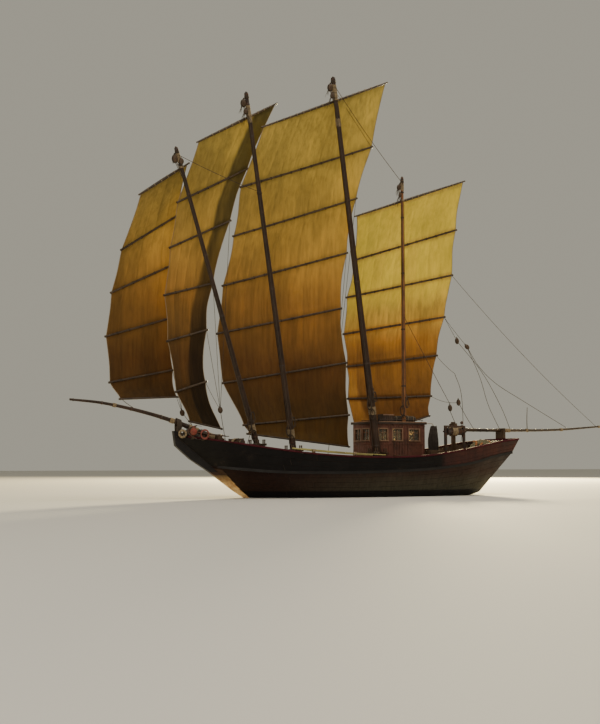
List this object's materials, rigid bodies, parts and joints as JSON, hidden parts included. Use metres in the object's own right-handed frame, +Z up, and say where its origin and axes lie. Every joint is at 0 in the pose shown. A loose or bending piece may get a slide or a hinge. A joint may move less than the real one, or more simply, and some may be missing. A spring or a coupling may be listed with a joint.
{
  "type": "sailing fishing boat",
  "caption": "Wooden sailing trawler with four raking masts, a battened lug sail on each, a curved bowsprit, a long stern pole and a small wheelhouse.",
  "frame": {"origin": "centreline of the hull at the middle of its length, on the waterline that it floats at", "axes": "+X to the bow, +Y to port, +Z up"},
  "size_m": [23.1056, 4.0212, 17.0344],
  "materials": {
    "planking": "weathered varnish over planks",
    "dark_strake": "tarred, dull",
    "deck_planks": "bare scrubbed planks",
    "rail_paint": "maroon paint, satin",
    "spar_wood": "oiled dark timber",
    "bamboo": "dry bamboo",
    "sailcloth": "tan canvas, thin enough to glow",
    "house_paint": "faded pinkish brown paint",
    "roof_paint": "dark paint, matt",
    "door_paint": "brown paint, worn",
    "window_glass": "clear",
    "dark_iron": "painted, greasy",
    "engine_paint": "green enamel",
    "netting": "wet twine",
    "bronze": "cast, dull"
  },
  "bodies": {
    "boat": {"hull": "planking", "deck": "deck_planks", "rail_port": "rail_paint", "rail_starboard": "rail_paint", "rail_stern": "rail_paint", "wale_port": "dark_strake", "wale_starboard": "dark_strake", "keel": "planking", "stem": "dark_strake", "mast_fore": "spar_wood", "mast_second": "spar_wood", "mast_main": "spar_wood", "mast_mizzen": "spar_wood", "bowsprit": "spar_wood", "stern_pole": "bamboo", "bowsprit_bitts": "spar_wood", "pole_post": "spar_wood", "pole_crutch": "spar_wood", "house_wall_fore": "house_paint", "house_wall_aft": "house_paint", "house_wall_port": "house_paint", "house_wall_starboard": "house_paint", "house_roof": "roof_paint", "house_glass_fore": "window_glass", "house_glass_port": "window_glass", "house_glass_starboard": "window_glass", "roof_box": "roof_paint", "exhaust_pipe": "dark_iron", "helm_desk": "house_paint", "engine_block": "engine_paint", "windlass_frame": "spar_wood", "hauler_frame": "dark_iron", "net_heap": "netting", "fore_hold_coaming": "deck_planks", "fish_hold_coaming": "deck_planks", "engine_coaming": "deck_planks"},
    "fore_sail": {"sail_fore_yard": "bamboo", "sail_fore_cloth": "sailcloth", "sail_fore_boom": "bamboo"},
    "second_sail": {"sail_second_yard": "bamboo", "sail_second_cloth": "sailcloth", "sail_second_boom": "bamboo"},
    "main_sail": {"sail_main_yard": "bamboo", "sail_main_cloth": "sailcloth", "sail_main_boom": "bamboo"},
    "mizzen_sail": {"sail_mizzen_yard": "bamboo", "sail_mizzen_cloth": "sailcloth", "sail_mizzen_boom": "bamboo"},
    "door": {"house_door": "door_paint"},
    "fore_lid": {"fore_hold_lid": "deck_planks"},
    "fish_lid": {"fish_hold_lid": "deck_planks"},
    "engine_hatch": {"engine_lid": "deck_planks"},
    "helm": {"steering_wheel": "spar_wood"},
    "windlass": {"windlass_drum": "dark_iron"},
    "hauler": {"hauler_drum": "dark_iron"},
    "rudder_body": {"rudder": "spar_wood"},
    "screw": {"propeller": "bronze"}
  },
  "joints": [
    {"name": "fore_sail_swing", "type": "hinge", "parent": "boat", "child": "fore_sail", "pos_m": [4.11, 0.3, 2.02], "axis": [0.2932, 0, 0.956], "range_deg": [0, 35]},
    {"name": "second_sail_swing", "type": "hinge", "parent": "boat", "child": "second_sail", "pos_m": [2.63, 0.3, 1.81], "axis": [0.148, 0, 0.989], "range_deg": [0, 9]},
    {"name": "main_sail_swing", "type": "hinge", "parent": "boat", "child": "main_sail", "pos_m": [-0.84, 0.45, 1.65], "axis": [0.1295, 0, 0.9916], "range_deg": [0, 4]},
    {"name": "mizzen_sail_swing", "type": "hinge", "parent": "boat", "child": "mizzen_sail", "pos_m": [-2.34, 0, 2.7], "axis": [-0.001, 0, 1], "range_deg": [0, 12]},
    {"name": "door_slide", "type": "slide", "parent": "boat", "child": "door", "axis": [0, 1, 0], "range_m": [0, 0.6]},
    {"name": "fore_lid_hinge", "type": "hinge", "parent": "boat", "child": "fore_lid", "pos_m": [3.532, -0.12, 1.3903], "axis": [0, 1, 0], "range_deg": [0, 90]},
    {"name": "fish_lid_hinge", "type": "hinge", "parent": "boat", "child": "fish_lid", "pos_m": [1.952, 0, 1.1603], "axis": [0, 1, 0], "range_deg": [0, 90]},
    {"name": "engine_lid_hinge", "type": "hinge", "parent": "boat", "child": "engine_hatch", "pos_m": [-3.97, -0.452, 1.5103], "axis": [1, 0, 0], "range_deg": [0, 90]},
    {"name": "rudder_turn", "type": "hinge", "parent": "boat", "child": "rudder_body", "pos_m": [-5.4, 0, 0], "axis": [0, 0, 1], "range_deg": [-35, 35]},
    {"name": "wheel_turn", "type": "hinge", "parent": "boat", "child": "helm", "pos_m": [-1.13, -0.42, 1.93], "axis": [1, 0, 0], "range_deg": [-540, 540]},
    {"name": "windlass_spin", "type": "hinge", "parent": "boat", "child": "windlass", "pos_m": [4.75, 0, 1.96], "axis": [0, 1, 0], "continuous": true},
    {"name": "hauler_spin", "type": "hinge", "parent": "boat", "child": "hauler", "pos_m": [-3.95, 1.08, 2.44], "axis": [1, 0, 0], "continuous": true},
    {"name": "screw_spin", "type": "hinge", "parent": "boat", "child": "screw", "pos_m": [-4.87, 0, -0.48], "axis": [1, 0, 0], "continuous": true}
  ],
  "couplings": [
    {"joint": "wheel_turn", "follows": "rudder_turn", "ratio": 15.429}
  ]
}
